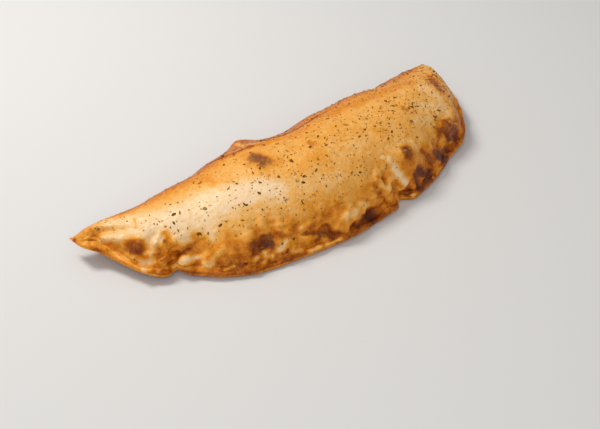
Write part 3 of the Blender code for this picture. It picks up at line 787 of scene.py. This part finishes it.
def mapNode(nodes, links, value, low, high):  # noise, which is mostly from 0.3 to 0.7, to other limits
    node = nodes.new("ShaderNodeMapRange")
    node.inputs["From Min"].default_value = 0.3
    node.inputs["From Max"].default_value = 0.7
    node.inputs["To Min"].default_value = low
    node.inputs["To Max"].default_value = high
    links.new(value, node.inputs["Value"])
    return node.outputs["Result"]


def mixColour(nodes, links, share, first, second):
    node = nodes.new("ShaderNodeMix")
    node.data_type = "RGBA"
    links.new(share, node.inputs["Factor"])
    for socket, value in ((node.inputs[6], first), (node.inputs[7], second)):
        if isinstance(value, (list, tuple)):
            socket.default_value = value
        else:
            links.new(value, socket)
    return node.outputs[2]


def rampNode(nodes, links, value, stops):
    node = nodes.new("ShaderNodeValToRGB")
    ramp = node.color_ramp
    while len(ramp.elements) > 1:
        ramp.elements.remove(ramp.elements[-1])
    for index, (place, colour) in enumerate(stops.items()):
        stop = ramp.elements[0] if index == 0 else ramp.elements.new(place)
        stop.position = place
        stop.color = fromScreen(colour)
    links.new(value, node.inputs["Fac"])
    return node.outputs["Color"]


crustFinish = {
    "mottleSize": 3.2, "mottle": 0.07, "speckleSize": 1.1, "speckle": 0.05,  # how far noise shifts the bake
    "char": (0.75, 1.15), "roughness": (0.34, 0.48),
    "specular": 0.32, "specularTint": (1.0, 0.84, 0.60, 1.0),
    "subsurface": 0.05, "subsurfaceRadius": (1.0, 0.5, 0.25), "subsurfaceScale": 2.0,
    "bump": 0.65, "bumpDistance": 0.45,
}


def crustMaterial():
    f = crustFinish
    material, nodes, links, surface = newMaterial("bakedCrust")
    place = nodes.new("ShaderNodeTexCoord")
    fields = {}
    for name in ("bakeAndPaintedLight", "char"):
        field = nodes.new("ShaderNodeAttribute")
        field.attribute_name = name
        fields[name] = field.outputs["Fac"]
    mottle = noiseNode(nodes, links, place, f["mottleSize"])
    speckle = noiseNode(nodes, links, place, f["speckleSize"], 2.0)
    shift = mapNode(nodes, links, mottle, -f["mottle"], f["mottle"])
    bakeAndPaintedLight = mathNode(nodes, links, "ADD", fields["bakeAndPaintedLight"], shift)
    shift = mapNode(nodes, links, speckle, -f["speckle"], f["speckle"])
    bakeAndPaintedLight = mathNode(nodes, links, "ADD", bakeAndPaintedLight, shift)
    colour = rampNode(nodes, links, bakeAndPaintedLight, crustColours)
    char = mathNode(nodes, links, "MULTIPLY", fields["char"], mapNode(nodes, links, speckle, *f["char"]))
    colour = mixColour(nodes, links, char, colour, fromScreen(charColour))
    links.new(colour, surface.inputs["Base Color"])
    links.new(mapNode(nodes, links, mottle, *f["roughness"]), surface.inputs["Roughness"])
    surface.inputs["Specular IOR Level"].default_value = f["specular"]
    surface.inputs["Specular Tint"].default_value = f["specularTint"]
    surface.inputs["Subsurface Weight"].default_value = f["subsurface"]
    surface.inputs["Subsurface Radius"].default_value = f["subsurfaceRadius"]
    surface.inputs["Subsurface Scale"].default_value = f["subsurfaceScale"] * mm
    bump = nodes.new("ShaderNodeBump")
    bump.inputs["Strength"].default_value = f["bump"]
    bump.inputs["Distance"].default_value = f["bumpDistance"] * mm
    links.new(mathNode(nodes, links, "ADD", mottle, speckle), bump.inputs["Height"])
    links.new(bump.outputs["Normal"], surface.inputs["Normal"])
    return material


# dried herbs: each kind is one piece of many small crooked chips

herbKinds = {
    "oreganoLeafBits": {"count": 210, "length": (1.2, 3.0), "width": (0.42, 0.76), "thick": 0.22, "seed": 5,
                        "colours": {0.0: (98, 60, 16), 0.5: (130, 88, 32), 1.0: (172, 136, 78)}},
    "oreganoCrumbs": {"count": 1250, "length": (0.50, 1.15), "width": (0.42, 0.85), "thick": 0.20, "seed": 9,
                      "colours": {0.0: (104, 60, 14), 0.5: (136, 84, 24), 1.0: (168, 118, 48)}},
    "oreganoStemBits": {"count": 60, "length": (1.2, 2.8), "width": (0.22, 0.38), "thick": 0.22, "seed": 21,
                        "colours": {0.0: (166, 126, 72), 0.5: (196, 158, 104), 1.0: (214, 186, 144)}},
}


herbSpread = {
    # between these turns round a rib, and fewer low on the front
    "backLimit": (0.285, 0.345), "frontLimit": (0.80, 0.86),
    "lowShare": 0.45, "lowChange": (0.66, 0.80),
    # fewer towards the ends, by the share of the length
    "pointedShare": 0.16, "pointedChange": (0.18, 0.46), "pointedLimit": (0.06, 0.12),
    "bluntShare": 0.55, "bluntChange": (0.88, 0.97), "bluntLimit": (0.02, 0.06),
    "narrowing": 0.7,
    "patch": 0.9, "patchSize": 17, "patchLimits": (0.1, 2),
}


def herbShare(points, along, turn):  # how thickly the herbs lie
    h = herbSpread
    top = smooth(*h["backLimit"], turn) * (1 - smooth(*h["frontLimit"], turn))
    lengthwise = mix(h["pointedShare"], 1.0, smooth(*h["pointedChange"], along))
    lengthwise *= mix(1, h["bluntShare"], smooth(*h["bluntChange"], along))
    lengthwise *= smooth(*h["pointedLimit"], along) * smooth(*h["bluntLimit"], 1 - along)
    lengthwise *= np.sin(np.pi * along) ** h["narrowing"]
    upper = mix(1, h["lowShare"], smooth(*h["lowChange"], turn))
    patchy = np.clip(1 + h["patch"] * lumps(points, h["patchSize"], (4, 4, 9)), *h["patchLimits"])
    return top * lengthwise * upper * patchy


chips = {
    "narrowing": 0.55, "curl": 0.10, "cup": 0.05,  # of the plain chip, which is 1 long
    "shortness": 1.8,  # most are near the least length
    "uneven": (0.85, 1.15), "tilt": 0.14, "lean": 0.16,
    "proud": 0.55,  # how far a chip's middle stands off the skin, by its thickness
    "veinSize": 0.6, "veins": 0.2, "roughness": 0.8, "specular": 0.15,
}


def makeChip(thick):  # one chip, cut from a small grid, curled and given a thickness
    clearSelection()
    bpy.ops.mesh.primitive_grid_add(x_subdivisions=3, y_subdivisions=2, size=1)
    chip = bpy.context.active_object
    bpy.ops.object.mode_set(mode="EDIT")
    bpy.ops.mesh.select_all(action="SELECT")
    bpy.ops.transform.resize(value=(1, 0.5, 1))
    bpy.ops.object.mode_set(mode="OBJECT")
    for vertex in chip.data.vertices:
        across = vertex.co.x * 2
        vertex.co.y *= 1 - chips["narrowing"] * across ** 2
        vertex.co.z = chips["curl"] * across ** 2 - chips["cup"] * (vertex.co.y * 4) ** 2
    wall = chip.modifiers.new("wall", "SOLIDIFY")
    wall.thickness = thick
    wall.offset = 0
    bpy.ops.object.modifier_apply(modifier=wall.name)
    return chip


def makeHerbs(name, kind, crustPoints, normals, shares):
    chance = np.random.default_rng(kind["seed"])
    chip = makeChip(kind["thick"])
    shape = readVectors(chip.data, "co")
    faces = [list(face.vertices) for face in chip.data.polygons]
    bpy.data.objects.remove(chip)
    spots = chance.choice(len(crustPoints), size=kind["count"], replace=False, p=shares / shares.sum())
    corners, walls, tints = [], [], []
    for spot in spots:
        length = mix(*kind["length"], chance.random() ** chips["shortness"])
        width = length * mix(*kind["width"], chance.random())
        bits = shape * (length, 2 * width, 1) * chance.uniform(*chips["uneven"], shape.shape)
        bits[:, 2] += chips["tilt"] * length * chance.uniform(-1, 1) * bits[:, 0] / length
        upright = Vector(normals[spot]).to_track_quat("Z", "X").to_matrix()
        spin = Matrix.Rotation(chance.uniform(0, 2 * np.pi), 3, "Z")
        lean = Matrix.Rotation(chance.normal(0, chips["lean"]), 3, "X")
        bits = bits @ np.array(upright @ spin @ lean).T
        walls += [[corner + len(corners) * len(shape) for corner in face] for face in faces]
        corners.append(bits + crustPoints[spot] + normals[spot] * kind["thick"] * chips["proud"])
        tints += [chance.random()] * len(shape)
    mesh = bpy.data.meshes.new(name)
    mesh.from_pydata(np.concatenate(corners).tolist(), [], walls)
    keepField(mesh, "tint", np.array(tints))
    herbs = bpy.data.objects.new(name, mesh)
    bpy.context.scene.collection.objects.link(herbs)
    material, nodes, links, surface = newMaterial(name)
    place = nodes.new("ShaderNodeTexCoord")
    tint = nodes.new("ShaderNodeAttribute")
    tint.attribute_name = "tint"
    veins = noiseNode(nodes, links, place, chips["veinSize"], 2.0)
    shift = mapNode(nodes, links, veins, -chips["veins"], chips["veins"])
    shade = mathNode(nodes, links, "ADD", tint.outputs["Fac"], shift)
    links.new(rampNode(nodes, links, shade, kind["colours"]), surface.inputs["Base Color"])
    surface.inputs["Roughness"].default_value = chips["roughness"]
    surface.inputs["Specular IOR Level"].default_value = chips["specular"]
    mesh.materials.append(material)
    return herbs


# the shot

shot = {
    "azimuth": -37.2, "elevation": 40.76, "roll": -1.94, "distance": 0.6224,
    "target": (-0.0212, -0.0126, 0.0), "lens": 54, "sensor": 36,
}


def direction(place):  # from the middle of the part towards a place at an azimuth and elevation, in degrees
    azimuth, elevation = math.radians(place["azimuth"]), math.radians(place["elevation"])
    level = math.cos(elevation)
    return Vector((math.sin(azimuth) * level, -math.cos(azimuth) * level, math.sin(elevation)))


def setCamera():
    back = direction(shot)
    lens = bpy.data.cameras.new("camera")
    lens.lens = shot["lens"]
    lens.sensor_width = shot["sensor"]
    lens.clip_start = 0.01
    lens.clip_end = 20
    camera = bpy.data.objects.new("camera", lens)
    bpy.context.scene.collection.objects.link(camera)
    camera.rotation_mode = "QUATERNION"
    level = (-back).to_track_quat("-Z", "Y")
    camera.rotation_quaternion = level @ Matrix.Rotation(math.radians(shot["roll"]), 3, "Z").to_quaternion()
    camera.location = Vector(shot["target"]) + back * shot["distance"]
    bpy.context.scene.camera = camera


lamps = {  # where each one shines from (azimuth as for the camera), its size in metres and its power
    "key": {
        "azimuth": 200, "elevation": 55, "distance": 1.1,
        "size": 0.32, "power": 7.5, "colour": (1.0, 0.97, 0.93)},
    "fill": {
        "azimuth": -40, "elevation": 38, "distance": 1.3,
        "size": 0.9, "power": 3.7, "colour": (1.0, 0.99, 0.97)},
}
studio = {
    "world": 0.43, "worldColour": (1.0, 0.99, 0.98, 1.0),
    "floorSize": 6, "floorColour": (0.70, 0.695, 0.685, 1.0), "floorRoughness": 0.85,
}


def setLights():
    for name, lamp in lamps.items():
        light = bpy.data.lights.new(name, "AREA")
        light.size = lamp["size"]
        light.energy = lamp["power"]
        light.color = lamp["colour"]
        towards = direction(lamp)
        holder = bpy.data.objects.new(name, light)
        holder.location = towards * lamp["distance"]
        holder.rotation_mode = "QUATERNION"
        holder.rotation_quaternion = (-towards).to_track_quat("-Z", "Y")
        bpy.context.scene.collection.objects.link(holder)
    world = bpy.data.worlds.new("studio")
    world.use_nodes = True
    background = world.node_tree.nodes["Background"]
    background.inputs["Color"].default_value = studio["worldColour"]
    background.inputs["Strength"].default_value = studio["world"]
    bpy.context.scene.world = world
    bpy.context.scene.view_settings.view_transform = "Standard"


def makeFloor():
    clearSelection()
    bpy.ops.mesh.primitive_plane_add(size=studio["floorSize"])
    floor = bpy.context.active_object
    floor.name = "floor"
    material, _, _, surface = newMaterial("paleFloor")
    surface.inputs["Base Color"].default_value = studio["floorColour"]
    surface.inputs["Roughness"].default_value = studio["floorRoughness"]
    floor.data.materials.append(material)
    return floor


# building

setCamera()
crust, along, turn, points = makeCrust()
normals = readVectors(crust.data, "normal")
height, crumpled, band = fineRelief(points, along, turn)
exposed = smooth(*skin["fineFacing"], normals[:, 2])
view = photoView(points + normals * (height * exposed)[:, None], normals)
marks = placeMarks(points, view)
height += markRelief(points, marks)
bakeAndPaintedLight, char = bakeAndPaintedLightFields(points, along, turn, crumpled, band, marks)
points = points + normals * (height * exposed)[:, None]
writePoints(crust.data, points)
normals = readVectors(crust.data, "normal")
# the bake, with its painted light and shade, kept on the crust for the material
keepField(crust.data, "bakeAndPaintedLight", bakeAndPaintedLight)
keepField(crust.data, "char", char)
say("browning painted")

toPart = partPlace(points)
shares = herbShare(points, along, turn)
pieces = [crust]
for name, kind in herbKinds.items():
    pieces.append(makeHerbs(name, kind, points, normals, shares))
say("herbs scattered")
for piece in pieces:
    writePoints(piece.data, readVectors(piece.data, "co") * mm + toPart)
    piece.data.shade_smooth()
crust.data.materials.append(crustMaterial())

for piece in pieces:
    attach(piece, "root")
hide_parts("calzone")

makeFloor()
setLights()
say("lit")
